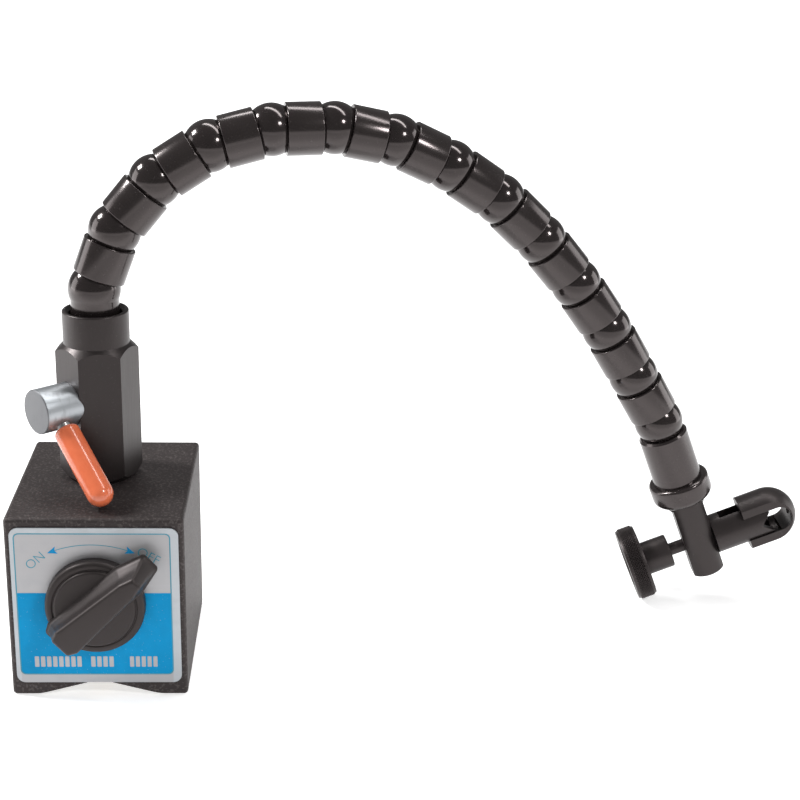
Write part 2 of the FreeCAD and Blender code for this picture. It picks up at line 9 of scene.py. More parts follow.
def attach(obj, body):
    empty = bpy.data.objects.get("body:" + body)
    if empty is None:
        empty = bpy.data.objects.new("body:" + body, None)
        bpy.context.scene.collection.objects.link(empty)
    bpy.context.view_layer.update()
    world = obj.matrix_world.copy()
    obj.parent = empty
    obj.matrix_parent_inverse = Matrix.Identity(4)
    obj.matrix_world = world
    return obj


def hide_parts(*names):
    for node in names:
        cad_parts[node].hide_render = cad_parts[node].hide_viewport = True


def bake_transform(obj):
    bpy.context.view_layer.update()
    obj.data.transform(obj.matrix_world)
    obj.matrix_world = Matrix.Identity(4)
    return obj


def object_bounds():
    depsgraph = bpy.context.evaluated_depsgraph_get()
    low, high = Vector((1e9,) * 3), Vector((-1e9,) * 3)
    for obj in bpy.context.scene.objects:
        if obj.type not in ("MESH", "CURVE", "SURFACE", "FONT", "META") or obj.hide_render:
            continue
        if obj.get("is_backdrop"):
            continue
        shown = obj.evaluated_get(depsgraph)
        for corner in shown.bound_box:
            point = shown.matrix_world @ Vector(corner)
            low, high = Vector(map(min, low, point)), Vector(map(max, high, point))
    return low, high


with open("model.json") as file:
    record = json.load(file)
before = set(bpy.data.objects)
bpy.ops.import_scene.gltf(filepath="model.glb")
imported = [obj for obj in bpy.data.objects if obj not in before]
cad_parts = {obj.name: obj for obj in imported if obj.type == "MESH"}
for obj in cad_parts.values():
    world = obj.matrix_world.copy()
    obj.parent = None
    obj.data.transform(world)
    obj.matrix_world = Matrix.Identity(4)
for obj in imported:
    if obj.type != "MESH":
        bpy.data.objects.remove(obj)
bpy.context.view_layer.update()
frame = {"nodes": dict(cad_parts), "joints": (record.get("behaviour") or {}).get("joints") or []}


# ---- Base block ---------------------------------------------------------------------------
# Two steel poles pinned together with a non-magnetic plate between them. After pinning the
# block is sprayed with a grainy black enamel, and the groove underneath is ground bare.

class Shade:
    """A shader socket. Arithmetic on it adds Math nodes, and node() adds any other node."""

    def __init__(self, tree, socket=None):
        self.tree = tree
        self.socket = socket

    def node(self, kind, settings=None, inputs=None, out=0):
        made = self.tree.nodes.new(kind)
        for key, value in (settings or {}).items():
            setattr(made, key, value)
        for key, value in (inputs or {}).items():
            if isinstance(value, Shade):
                self.tree.links.new(value.socket, made.inputs[key])
            else:
                made.inputs[key].default_value = value
        return Shade(self.tree, made.outputs[out] if made.outputs else None)

    def maths(self, operation, first, second=0.0):
        return self.node("ShaderNodeMath", {"operation": operation}, {0: first, 1: second})

    def __add__(self, other):
        return self.maths("ADD", self, other)

    def __sub__(self, other):
        return self.maths("SUBTRACT", self, other)

    def __rsub__(self, other):
        return self.maths("SUBTRACT", other, self)

    def __mul__(self, other):
        return self.maths("MULTIPLY", self, other)

    def __abs__(self):
        return self.maths("ABSOLUTE", self)

    __radd__, __rmul__ = __add__, __mul__

    def place(self):
        return self.node("ShaderNodeTexCoord", out="Object")

    def xyz(self):
        apart = self.node("ShaderNodeSeparateXYZ", inputs={"Vector": self}).socket.node
        return [Shade(self.tree, socket) for socket in apart.outputs]

    def noise(self, scale, detail=3.0, stretch=(1, 1, 1), where=None):
        """Cloudy noise on the piece's own coordinates, scale in waves per metre."""
        where = self.node(
            "ShaderNodeMapping", inputs={"Vector": where or self.place(), "Scale": stretch}
        )
        return self.node(
            "ShaderNodeTexNoise", inputs={"Vector": where, "Scale": scale, "Detail": detail}
        )

    def ramp(self, low, high):
        """0 below low and 1 above high, easing between them."""
        return self.node(
            "ShaderNodeMapRange",
            {"interpolation_type": "SMOOTHSTEP"},
            {"Value": self, "From Min": low, "From Max": high},
        )

    def colours(self, first, second):
        """From the first colour to the second as this value goes from 0 to 1."""
        first, second = (
            c if isinstance(c, Shade) else (*c, 1.0) for c in (first, second)
        )
        return self.node(
            "ShaderNodeMix", {"data_type": "RGBA"}, {0: self, 6: first, 7: second}, out=2
        )

    def bump(self, distance, strength):
        """A normal tilted by this value, the distance in metres between its 0 and its 1."""
        return self.node(
            "ShaderNodeBump", inputs={"Strength": strength, "Distance": distance, "Height": self}
        )


def finish(name, paint):
    """A material whose surface is what paint(shade) gives for the shader's sockets."""
    made = bpy.data.materials.new(name)
    made.use_nodes = True
    made.node_tree.nodes.clear()
    shade = Shade(made.node_tree)
    surface = shade.node("ShaderNodeBsdfPrincipled", inputs=paint(shade))
    shade.node("ShaderNodeOutputMaterial", inputs={"Surface": surface})
    return made


def wear(names, material):
    """Give CAD nodes their finish."""
    for name in names:
        slots = frame["nodes"][name].data.materials
        slots.clear()
        slots.append(material)


half_width, half_depth, half_height = 0.025, 0.030, 0.0275
worn_in, worn_out = 0.0007, 0.0001
warm_gloss = (1.0, 0.88, 0.87, 1.0)


def enamel_over(bare):
    """Grainy enamel, thin, rubbed and lighter as a painted sheen along the block's edges, and ground
    off to bare metal below.
    """
    def paint(shade):
        x, y, z = shade.place().xyz()
        near_side = abs(x).ramp(half_width - worn_in, half_width + worn_out)
        near_front = abs(y).ramp(half_depth - worn_in, half_depth + worn_out)
        near_top = abs(z - half_height).ramp(half_height - worn_in, half_height + worn_out)
        edge = near_side * near_front + near_front * near_top + near_top * near_side
        rubbed = edge * shade.noise(420.0, 4.0).ramp(0.50, 0.66)
        ground = 1 - shade.node("ShaderNodeTexCoord", out="Normal").xyz()[2].ramp(-0.95, -0.6)
        grain = shade.noise(1700.0, 2.0)
        speck = shade.noise(1350.0, 2.0).ramp(0.53, 0.66)
        tone = shade.noise(70.0, 4.0).colours((0.0155, 0.0125, 0.0124), (0.0245, 0.0204, 0.0202))
        tone = (speck * 0.7).colours(tone, (0.072, 0.063, 0.061))
        # Every edge a little lighter: partly thin, worn paint, partly a painted sheen.
        tone = (edge * 0.35).colours(tone, (0.075, 0.068, 0.066))
        tone = (rubbed * 0.8).colours(tone, (0.17, 0.16, 0.155))
        grind = shade.noise(900.0, 2.0, stretch=(1, 0.02, 1))
        painted = 0.46 + grain * 0.24 - edge * 0.08
        return {
            "Base Color": ground.colours(tone, bare),
            "Roughness": (1 - ground) * painted + ground * (0.18 + grind * 0.25),
            "Metallic": ground,
            "Specular IOR Level": 0.42,
            "Specular Tint": warm_gloss,
            "Normal": (grain * (1 - ground) + grind * ground * 0.2).bump(0.00011, 0.8),
        }
    return paint


grainy_enamel = finish("grainy_enamel", enamel_over((0.56, 0.55, 0.53)))
wear(["pole_left", "pole_right", "rear_plug"], grainy_enamel)


def machined(colour, roughness):
    """Bare metal as the cutter left it: a fine grain, and stains where it was handled."""
    def paint(shade):
        grain = shade.noise(2600.0, 2.0, stretch=(1, 1, 0.08))
        stain = shade.noise(130.0, 4.0)
        return {
            "Base Color": stain.colours([c * 0.78 for c in colour], colour),
            "Roughness": roughness + grain * 0.14 + stain * 0.08,
            "Metallic": 1.0,
            "Normal": grain.bump(0.00001, 0.5),
        }
    return paint


machined_steel = finish("machined_steel", machined((0.56, 0.55, 0.54), 0.22))
wear(["tie_dowels", "post_stud"], machined_steel)


# ---- Divider and front bushing ------------------------------------------------------------
# The divider is brass, painted over on the outside and bare in the ground groove. The front
# bushing is turned brass, pressed in behind the label, and the spindle runs in it.

wear(["pole_divider"], finish("enamelled_brass", enamel_over((0.60, 0.42, 0.16))))
wear(["front_bushing"], finish("turned_brass", machined((0.62, 0.44, 0.17), 0.18)))


# ---- Label --------------------------------------------------------------------------------
# A thin anodised plate stuck on the front. The blue field, the line round it, the arrows and
# the two words are screen printed in one ink, and the lettering bars in the field are left bare.

def anodised(shade):
    """Brushed plate, a little duller inside the printed line than on the bare rim round it."""
    x, y, z = shade.place().xyz()
    brushed = shade.noise(2400.0, 2.0, stretch=(0.012, 1, 1))
    cloud = shade.noise(190.0, 4.0)
    inside = (1 - abs(x + 0.0005).ramp(0.0214, 0.0217)) * (1 - z.ramp(0.0506, 0.0509))
    tone = inside.colours((0.43, 0.455, 0.48), (0.385, 0.38, 0.39))
    return {
        "Base Color": (cloud.ramp(0.45, 0.75) * 0.35).colours(tone, (0.33, 0.335, 0.35)),
        "Roughness": 0.36 + brushed * 0.2,
        "Metallic": 0.45,
        "Normal": brushed.bump(0.000006, 0.5),
    }


def printed_ink(colour, worn):
    """Flat ink: it thins out a little in clouds and is dusty with fine pinholes."""
    def paint(shade):
        cloud = shade.noise(260.0, 4.0)
        pinhole = shade.noise(2300.0, 1.0).ramp(0.70, 0.78)
        tone = cloud.colours([c * 0.86 for c in colour], [min(1.0, c * 1.1) for c in colour])
        return {
            "Base Color": (pinhole * worn).colours(tone, (0.55, 0.57, 0.60)),
            "Roughness": 0.44 + cloud * 0.12,
            "Specular IOR Level": 0.12,
            "Normal": cloud.bump(0.000008, 0.4),
        }
    return paint


def softened(corners, steps=6):
    """An outline's corners (across, along, rounding) as points, with an arc at each rounding."""
    points = []
    for k, (across, along, rounding) in enumerate(corners):
        corner = Vector((across, along))
        if rounding == 0:
            points.append(corner)
            continue
        back = (Vector(corners[k - 1][:2]) - corner).normalized()
        on = (Vector(corners[(k + 1) % len(corners)][:2]) - corner).normalized()
        half = back.angle(on) / 2
        reach = rounding / math.tan(half)
        centre = corner + (back + on).normalized() * (rounding / math.sin(half))
        first, last = corner + back * reach - centre, corner + on * reach - centre
        points += [centre + first.slerp(last, s / steps) * rounding for s in range(steps + 1)]
    return points


def add_piece(name, mesh, material, body, stands_for=None):
    """Link a mesh as a piece that moves with a body, and hide the CAD node it stands for."""
    mesh.materials.clear()
    mesh.materials.append(material)
    piece = bpy.data.objects.new(name, mesh)
    bpy.context.scene.collection.objects.link(piece)
    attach(piece, body)
    if stands_for:
        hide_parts(stands_for)


def plain_mesh(thing, name):
    """The mesh that an object's curve, text or modifiers give. The object itself is removed."""
    bpy.context.scene.collection.objects.link(thing)
    bpy.context.view_layer.update()
    evaluated = thing.evaluated_get(bpy.context.evaluated_depsgraph_get())
    mesh = bpy.data.meshes.new_from_object(evaluated)
    mesh.name = name
    bpy.data.objects.remove(thing)
    return mesh


label_face, ink_half, letter_height = -0.0305, 0.02, 3.9


def on_label(name, curve, material, lift=0.0, middle=(0, 0), tilt=0.0):
    """Put flat artwork, drawn in millimetres, on the label's face. The tilt is in degrees."""
    curve.fill_mode = "BOTH"
    curve.extrude = ink_half
    mesh = plain_mesh(bpy.data.objects.new(name, curve), name)
    flat = Matrix.Translation((*middle, 0)) @ Matrix.Rotation(math.radians(tilt), 4, "Z")
    upright = Matrix.Rotation(math.radians(90), 4, "X") @ Matrix.Scale(0.001, 4)
    mesh.transform(Matrix.Translation((0, label_face - lift, 0)) @ upright @ flat)
    add_piece(name, mesh, material, "base")


def drawn(name, outlines):
    """Closed outlines as one flat curve, where an outline inside another is a hole."""
    curve = bpy.data.curves.new(name, "CURVE")
    curve.dimensions = "2D"
    for outline in outlines:
        spline = curve.splines.new("POLY")
        spline.points.add(len(outline) - 1)
        for point, (x, z) in zip(spline.points, outline):
            point.co = (x, z, 0, 1)
        spline.use_cyclic_u = True
    return curve


def lettering(name, word, middle, tilt):
    """One printed word in thin strokes, centred and tilted."""
    curve = bpy.data.curves.new(name, "FONT")
    curve.body = word
    curve.size = letter_height
    curve.align_x, curve.align_y = "CENTER", "CENTER"
    curve.offset = -0.05
    on_label(name, curve, line_ink, middle=middle, tilt=tilt)


wear(["label_plate"], finish("anodised_plate", anodised))
field_ink = finish("field_ink", printed_ink((0.0, 0.27, 0.56), 0.25))
line_ink = finish("line_ink", printed_ink((0.075, 0.28, 0.37), 0.3))
arrow_ink = finish("arrow_ink", printed_ink((0.01, 0.26, 0.55), 0.1))
bare_plate = finish("bare_plate", anodised)

left, right, bottom, top = -22.3, 21.2, 6.9, 50.9
field_top, line = 32.6, 0.34
outside = [(left, bottom, 1.6), (right, bottom, 1.6), (right, top, 1.5), (left, top, 1.5)]
inside = [(left + line, bottom + line, 1.4), (right - line, bottom + line, 1.4),
          (right - line, top - line, 1.25), (left + line, top - line, 1.25)]
on_label("frame_line", drawn("frame_line", [softened(outside), softened(inside)]), line_ink)

hole_radius, hole_height = 5.0, 29.8
notch = [
    (hole_radius * math.cos(a), hole_height + hole_radius * math.sin(a))
    for a in (math.radians(34 - 248 * k / 30) for k in range(31))
]
field = [(left + line, field_top, 0), (left + line, bottom + line, 1.3),
         (right - line, bottom + line, 1.3), (right - line, field_top, 0),
         (notch[0][0], field_top, 0)]
field_outline = softened(field) + [Vector(p) for p in notch] + [Vector((notch[-1][0], field_top))]
on_label("blue_field", drawn("blue_field", [field_outline]), field_ink)

sweep_middle, sweep_radius, tip_angle, head_angle = (-0.87, 17.04), 30.36, 23.6, 5.2


def on_sweep(angle, outwards=0.0):
    """A point of the arrows' arc, the angle in degrees from its top."""
    turn = math.radians(angle)
    reach = sweep_radius + outwards
    return (sweep_middle[0] + reach * math.sin(turn), sweep_middle[1] + reach * math.cos(turn))


arc_angles, stroke_half = [-19.5 + 39.0 * k / 40 for k in range(41)], 0.11
stroke = [on_sweep(a, stroke_half) for a in arc_angles]
stroke += [on_sweep(a, -stroke_half) for a in reversed(arc_angles)]
on_label("turn_line", drawn("turn_line", [stroke]), line_ink)
for side, way in (("on", -1), ("off", 1)):
    barbs = way * (tip_angle - head_angle)
    head = [
        on_sweep(way * tip_angle), on_sweep(barbs, 1.15),
        on_sweep(way * (tip_angle - head_angle * 0.8)), on_sweep(barbs, -1.15),
    ]
    on_label("arrow_to_" + side, drawn("arrow_to_" + side, [head]), arrow_ink)
lettering("word_on", "ON", (-16.4, 42.5), 40)
lettering("word_off", "OFF", (15.0, 44.0), -29)

bar_foot, bar_head, bar_gap, bar_corner = 9.4, 12.7, 0.5, 0.2
words = [(-18.1, -4.4, 8), (-2.2, 4.7, 4), (8.8, 17.1, 5)]
for number, (start, end, letters) in enumerate(words, 1):
    step = (end - start) / letters
    bars = []
    for k in range(letters):
        near, far = start + step * k, start + step * (k + 1) - bar_gap
        bars.append(softened([(near, bar_foot, bar_corner), (far, bar_foot, bar_corner),
                              (far, bar_head, bar_corner), (near, bar_head, bar_corner)], 2))
    on_label(f"lettering_bars_{number}", drawn("bars", bars), bare_plate, 0.00003)


# ---- Magnet rotor -------------------------------------------------------------------------
# A ferrite slab between two soft iron segments, held by the webs of the spindle and of the
# rear journal. A cross pin fixes the knob to the spindle. All of it is inside the block.

def sintered(shade):
    speck = shade.noise(3000.0, 2.0)
    cloud = shade.noise(300.0, 3.0)
    return {
        "Base Color": cloud.colours((0.035, 0.034, 0.036), (0.075, 0.073, 0.076)),
        "Roughness": 0.5 + speck * 0.2,
        "Metallic": 0.6,
        "Normal": speck.bump(0.00002, 0.5),
    }


wear(["magnet"], finish("ferrite", sintered))
wear(["rotor_irons", "spindle", "rear_journal", "knob_pin"], machined_steel)


# ---- Knob ---------------------------------------------------------------------------------
# One moulding in black phenolic: a disc with a beaded rim, and across it a wedge-shaped grip
# with hollowed flanks that ends in a pointer. Rubbed smooth on the crest, which is painted lighter
# as a painted sheen, matt in the hollows.

def turned(outline, origin, axis, steps=96, into=None):
    """A solid of revolution from an outline of (radius, along) points in millimetres.

    The outline ends on the axis at both ends, or else it is closed into a ring. The map
    "turning" holds the distance along the outline in millimetres, and the turn.
    """
    axis = Vector(axis).normalized()
    side = axis.orthogonal().normalized()
    other = axis.cross(side)
    shape = into or bmesh.new()
    turning = shape.loops.layers.uv.get("turning") or shape.loops.layers.uv.new("turning")
    solid = outline[0][0] == 0
    rings, travel, marks = [], 0.0, []
    for k, (radius, along) in enumerate(outline):
        if k:
            travel += (Vector(outline[k]) - Vector(outline[k - 1])).length
        marks.append(travel)
        middle = Vector(origin) + axis * along * 0.001
        if radius == 0:
            rings.append([shape.verts.new(middle)] * steps)
            continue
        turns = [2 * math.pi * s / steps for s in range(steps)]
        rings.append([
            shape.verts.new(middle + (side * math.cos(t) + other * math.sin(t)) * radius * 0.001)
            for t in turns
        ])
    pairs = list(zip(range(len(rings) - 1), range(1, len(rings))))
    if not solid:
        pairs.append((len(rings) - 1, 0))
    faces = []
    for first, second in pairs:
        for s in range(steps):
            after = (s + 1) % steps
            around = [rings[first][s], rings[first][after], rings[second][after], rings[second][s]]
            marked = [(marks[first], s), (marks[first], s + 1),
                      (marks[second], s + 1), (marks[second], s)]
            corners = [k for k in range(4) if around[k] not in around[:k]]
            face = shape.faces.new([around[k] for k in corners])
            for loop, k in zip(face.loops, corners):
                loop[turning].uv = (marked[k][0], marked[k][1] / steps)
            faces.append(face)
    bmesh.ops.recalc_face_normals(shape, faces=faces)
    return shape


def to_mesh(shape, name, sharp=32):
    """A finished mesh with smooth faces, and creases where faces meet at more than an angle."""
    mesh = bpy.data.meshes.new(name)
    shape.to_mesh(mesh)
    shape.free()
    mesh.polygons.foreach_set("use_smooth", [True] * len(mesh.polygons))
    mesh.set_sharp_from_angle(angle=math.radians(sharp))
    return mesh


def turn_piece(node, outline, origin, axis, material, body, steps=96):
    """A turned piece in the place of the CAD node that it is named after."""
    name = node + "_turned"
    mesh = to_mesh(turned(outline, origin, axis, steps), name)
    add_piece(name, mesh, material, body, node)


def phenolic(shade):
    x, y, z = shade.place().xyz()
    grain = shade.noise(2600.0, 2.0)
    cloud = shade.noise(220.0, 4.0)
    # Painted sheen: the top of the grip is coloured a little lighter.
    painted_crest_sheen = (y * -1).ramp(0.0415, 0.0435)
    tone = cloud.colours((0.0095, 0.0078, 0.0076), (0.017, 0.0142, 0.0138))
    return {
        "Base Color": (painted_crest_sheen * 0.4).colours(tone, (0.024, 0.0200, 0.0195)),
        "Roughness": 0.36 + cloud * 0.14 + grain * 0.06,
        "Specular IOR Level": 0.4,
        "Specular Tint": warm_gloss,
        "Normal": grain.bump(0.000012, 0.5),
    }


knob_middle, knob_turn = Vector((0, -0.0308, 0.0298)), math.radians(47.5)
pointing = Vector((math.sin(knob_turn), 0, math.cos(knob_turn)))
across = Vector((math.cos(knob_turn), 0, -math.sin(knob_turn)))
outwards = Vector((0, -1, 0))
disc_radius, disc_height = 14.0, 4.6
rim = softened([
    (0, 0, 0), (disc_radius, 0, 0.5), (disc_radius, 3.9, 1.3), (12.0, 3.9, 0.6), (11.7, 3.6, 0.2),
    (11.2, disc_height, 0.7), (0, disc_height, 0),
])
knob_shape = turned(rim, knob_middle, outwards, 128)

flank_foot, flank_top, crown = 0.7, 7.3, 1.0
levels = [(-0.6, 0.0, -0.6), (0.0, 0.0, -0.6), (0.25, 0.02, -0.22), (flank_foot, 0.06, 0.0)]
levels += [
    (flank_foot + (flank_top - flank_foot) * k / 8, 0.06 + 0.88 * k / 8, 0.0) for k in range(1, 9)
]
levels += [
    (flank_top + crown * math.sin(a), 0.94 + 0.06 * math.sin(a), 0.9 * (1 - math.cos(a)))
    for a in (math.radians(15 * k) for k in range(1, 7))
]
rings = []
for height, lean, inset in levels:
    hollow = 0.8 * math.sin(math.pi * lean) ** 2
    tail_half = 5.2 - 0.9 * lean - inset - hollow * 0.4
    waist = 4.7 - 1.9 * lean - inset - hollow
    nose_half = 2.5 - 0.9 * lean - inset * 0.8
    tail = 14.4 - 2.4 * lean - inset
    nose = 21.4 - 3.7 * lean - inset
    soft = 1.4 - 0.5 * lean
    outline = softened([
        (-tail_half * 0.72, -tail, soft), (tail_half * 0.72, -tail, soft),
        (tail_half, 2.6 - tail, soft), (waist, 13.5, 3.0), (nose_half, nose, soft * 0.9),
        (-nose_half, nose, soft * 0.9), (-waist, 13.5, 3.0), (-tail_half, 2.6 - tail, soft),
    ], 5)
    middle = knob_middle + outwards * (disc_height + height) * 0.001
    rings.append([
        knob_shape.verts.new(middle + (across * u + pointing * v) * 0.001) for u, v in outline
    ])
grip_faces = [knob_shape.faces.new(rings[0]), knob_shape.faces.new(rings[-1])]
for low, high in zip(rings, rings[1:]):
    for k in range(len(low)):
        after = (k + 1) % len(low)
        grip_faces.append(knob_shape.faces.new([low[k], low[after], high[after], high[k]]))
bmesh.ops.recalc_face_normals(knob_shape, faces=grip_faces)
add_piece("knob_moulding", to_mesh(knob_shape, "knob_moulding", 40), finish("phenolic", phenolic),
          "switch", "knob")


# ---- Post ---------------------------------------------------------------------------------
# Hexagonal steel bar, both ends turned to a cone, with a bored collar on top. Black oxide over
# the mill finish, so its flats are satin and its rubbed corners shine a little.

def finished_copy(node, body, material, round_over=0.18, crease=30):
    """A CAD node's own mesh, merged and with its sharp edges slightly rounded."""
    shape = bmesh.new()
    shape.from_mesh(frame["nodes"][node].data)
    bmesh.ops.remove_doubles(shape, verts=shape.verts, dist=2e-6)
    bmesh.ops.dissolve_limit(
        shape, angle_limit=math.radians(0.4), verts=shape.verts, edges=shape.edges
    )
    name = node + "_finished"
    mesh = bpy.data.meshes.new(name)
    shape.to_mesh(mesh)
    shape.free()
    if "custom_normal" in mesh.attributes:
        mesh.attributes.remove(mesh.attributes["custom_normal"])
    mesh.polygons.foreach_set("use_smooth", [True] * len(mesh.polygons))
    mesh.set_sharp_from_angle(angle=math.radians(crease))
    rounded = bpy.data.objects.new(name, mesh)
    edges = rounded.modifiers.new("edges", "BEVEL")
    edges.width = round_over * 0.001
    edges.segments = 2
    edges.limit_method = "ANGLE"
    edges.angle_limit = math.radians(crease)
    edges.harden_normals = True
    add_piece(name, plain_mesh(rounded, name), material, body, node)


def black_oxide(shade):
    brushed = shade.noise(1900.0, 3.0, stretch=(1, 1, 0.05))
    cloud = shade.noise(110.0, 4.0)
    speck = shade.noise(1500.0, 1.0).ramp(0.66, 0.74)
    tone = cloud.colours((0.0085, 0.0070, 0.0069), (0.0155, 0.0130, 0.0128))
    return {
        "Base Color": (speck * 0.1).colours(tone, (0.10, 0.092, 0.09)),
        "Roughness": 0.26 + brushed * 0.16 + cloud * 0.08,
        "Specular IOR Level": 0.45,
        "Specular Tint": warm_gloss,
        "Normal": brushed.bump(0.000012, 0.6),
    }


finished_copy("post", "base", finish("black_oxide", black_oxide))


# ---- Pull block and rope socket -----------------------------------------------------------
# The milled block that rides on the eccentric inside the post, and the turned socket in it
# that the rope is swaged into. Plain machined steel, never seen from outside.

wear(["pull_block", "rope_socket"], machined_steel)


# ---- Lock lever ---------------------------------------------------------------------------
# A bright turned shaft with an eccentric, kept in the post by a spring clip. Its rod is dipped
# in orange vinyl, which flows a little before it sets and so is thickest near the rounded end.

end_face_from = 20.3


def turned_steel(shade):
    """Bright turned metal. Its outer end, far along the outline, is faced and rougher, and its
    colour is darkened there as painted shade.
    """
    ring = shade.node("ShaderNodeUVMap", {"uv_map": "turning"})
    lathe_marks = shade.noise(9.0, 3.0, stretch=(1, 0.0, 1), where=ring)
    # The faced end is rougher, and its colour is darkened as painted shade.
    faced_end_with_shade = ring.xyz()[0].ramp(end_face_from, end_face_from + 0.5)
    cloud = shade.noise(160.0, 4.0)
    scuff = shade.noise(700.0, 3.0, stretch=(1, 1, 0.25)).ramp(0.52, 0.70)
    tone = cloud.colours((0.34, 0.36, 0.38), (0.47, 0.49, 0.51))
    # Scuffs darken the cylinder as wear; the faced end is darkened as painted shade.
    scuffs_and_painted_shade = scuff * 0.25 * (1 - faced_end_with_shade) + faced_end_with_shade * 0.9
    return {
        "Base Color": scuffs_and_painted_shade.colours(tone, (0.12, 0.12, 0.125)),
        "Roughness": 0.30 + lathe_marks * 0.14 + scuff * 0.04 + faced_end_with_shade * 0.10,
        "Metallic": 0.85,
        "Normal": lathe_marks.bump(0.000012, 0.7),
    }


def dipped_vinyl(shade):
    flow = shade.noise(180.0, 2.0)
    cloud = shade.noise(520.0, 4.0)
    grime = shade.noise(300.0, 4.0).ramp(0.62, 0.80)
    tone = cloud.colours((0.62, 0.125, 0.048), (0.70, 0.165, 0.070))
    return {
        "Base Color": (grime * 0.22).colours(tone, (0.33, 0.07, 0.04)),
        "Roughness": 0.20 + cloud * 0.07,
        "Specular IOR Level": 0.5,
        "Coat Weight": 0.5,
        "Coat Roughness": 0.06,
        "Normal": flow.bump(0.00012, 0.25),
    }


joints = {joint["name"]: joint for joint in frame["joints"]}
shaft_middle = Vector(joints["lever_turn"]["pos_m"])
shaft_axis = Vector(joints["lever_turn"]["axis"]).normalized()
beside = Vector((0, 0, 1)).cross(shaft_axis)
throw, throw_angle = 0.0005, math.radians(30)
throw_way = beside * math.sin(throw_angle) - Vector((0, 0, math.cos(throw_angle)))
eccentric = shaft_middle + throw_way * throw
boss = softened([(0, 6.6, 0), (6.5, 6.6, 0.1), (6.5, 21.0, 0.35), (0, 21.0, 0)])
cam = [(0, -4.8), (3.2, -4.8), (3.2, 7.0), (0, 7.0)]
journal = [
    (0, -12.1), (2.4, -12.1), (2.6, -11.9), (2.6, -11.35), (2.1, -11.35), (2.1, -10.55),
    (2.6, -10.55), (2.6, -3.8), (0, -3.8),
]
steel_shape = turned(boss, shaft_middle, shaft_axis)
turned(cam, eccentric, shaft_axis, 64, steel_shape)
turned(journal, shaft_middle, shaft_axis, 64, steel_shape)
add_piece("turned_shaft", to_mesh(steel_shape, "turned_shaft"), finish("turned_steel", turned_steel),
          "lever", "cam_shaft")
wear(["lever_rod", "shaft_clip"], machined_steel)

drop = math.radians(49.0)
grip_way = beside * math.sin(drop) - Vector((0, 0, math.cos(drop)))
grip_root = shaft_middle + shaft_axis * 0.0152
rod_radius, rod_end, grip_radius, tip_middle, tip_radius = 2.0, 29.0, 3.68, 29.4, 3.78
mouth = softened([
    (rod_radius, rod_end, 0), (rod_radius, 7.4, 0.15), (3.66, 7.4, 1.3), (grip_radius, 9.0, 0),
])[1:-1]
swell = [
    (grip_radius + (tip_radius - grip_radius) * math.sin(math.pi / 2 * k / 12),
     9.0 + (tip_middle - 9.0) * k / 12)
    for k in range(13)
]
tip = [
    (tip_radius * math.cos(a), tip_middle + tip_radius * math.sin(a))
    for a in (math.radians(7.5 * k) for k in range(1, 12))
]
vinyl = [(0, rod_end), (rod_radius, rod_end), *mouth, *swell, *tip, (0, tip_middle + tip_radius)]
add_piece("dipped_grip", to_mesh(turned(vinyl, grip_root, grip_way), "dipped_grip", 60),
          finish("dipped_vinyl", dipped_vinyl), "lever", "lever_grip")


# ---- Arm balls ----------------------------------------------------------------------------
# Bored balls, polished and finished in gloss black. The first one has a neck and a spigot that
# is pressed into the post's collar, and its bore opens upwards for the rope.

def gloss_black(shade):
    orange_peel = shade.noise(700.0, 2.0)
    cloud = shade.noise(150.0, 4.0)
    dust = shade.noise(2200.0, 1.0).ramp(0.71, 0.76)
    tone = cloud.colours((0.0095, 0.0075, 0.0074), (0.0155, 0.0128, 0.0125))
    return {
        "Base Color": (dust * 0.3).colours(tone, (0.10, 0.092, 0.09)),
        "Roughness": 0.10 + cloud * 0.07 + dust * 0.1,
        "Specular IOR Level": 0.66,
        "Specular Tint": warm_gloss,
        "Normal": orange_peel.bump(0.00002, 0.25),
    }


def arc(radius, start, end, middle=0.0, steps=36):
    """Points of an arc centred on the axis, its angles in degrees from the axis."""
    turns = [math.radians(start + (end - start) * s / steps) for s in range(steps + 1)]
    return [(radius * math.sin(t), middle + radius * math.cos(t)) for t in turns]


ball_finish = finish("gloss_black", gloss_black)
ball_radius = 7.55
ball_middles = [Vector(joints[f"arm_bend_{k:02d}"]["pos_m"]) for k in range(1, 15)]
first_ball = arc(ball_radius, 112.0, 31.85) + [
    (2.6, 2.0), (2.6, -13.9), (7.45, -13.9), (7.65, -13.7), (7.65, -9.1), (7.45, -8.9), (7.0, -8.9),
]
turn_piece("ball_01", first_ball, ball_middles[0], (0, 0, 1), ball_finish, "base")

run_ways = [(after - before).normalized() for before, after in zip(ball_middles, ball_middles[1:])]
swivel_place = Vector(joints["clamp_swivel"]["pos_m"])
run_ways.append((swivel_place - ball_middles[-1]).normalized())
for number in range(2, 15):
    name = f"ball_{number:02d}"
    bored_ball = arc(ball_radius, 20.14, 159.86, steps=48)
    bore_axis = run_ways[number - 2] + run_ways[number - 1]
    turn_piece(name, bored_ball, ball_middles[number - 1], bore_axis, ball_finish, name,
               80)


# ---- Arm sleeves --------------------------------------------------------------------------
# Short tubes with a ball seat in each end, one between every two balls. Turned from bar with
# slightly broken lips, and in the same black, which shows faint lathe rings on the cylinders.

def sleeve_black(shade):
    ring = shade.node("ShaderNodeUVMap", {"uv_map": "turning"})
    lathe_marks = shade.noise(5.0, 3.0, stretch=(1, 0.0, 1), where=ring)
    cloud = shade.noise(170.0, 4.0)
    dust = shade.noise(2200.0, 1.0).ramp(0.70, 0.76)
    tone = cloud.colours((0.0115, 0.0092, 0.0090), (0.0185, 0.0154, 0.0150))
    return {
        "Base Color": (dust * 0.35).colours(tone, (0.10, 0.092, 0.09)),
        "Roughness": 0.11 + lathe_marks * 0.08 + cloud * 0.07,
        "Specular IOR Level": 0.66,
        "Specular Tint": warm_gloss,
        "Normal": lathe_marks.bump(0.000006, 0.5),
    }


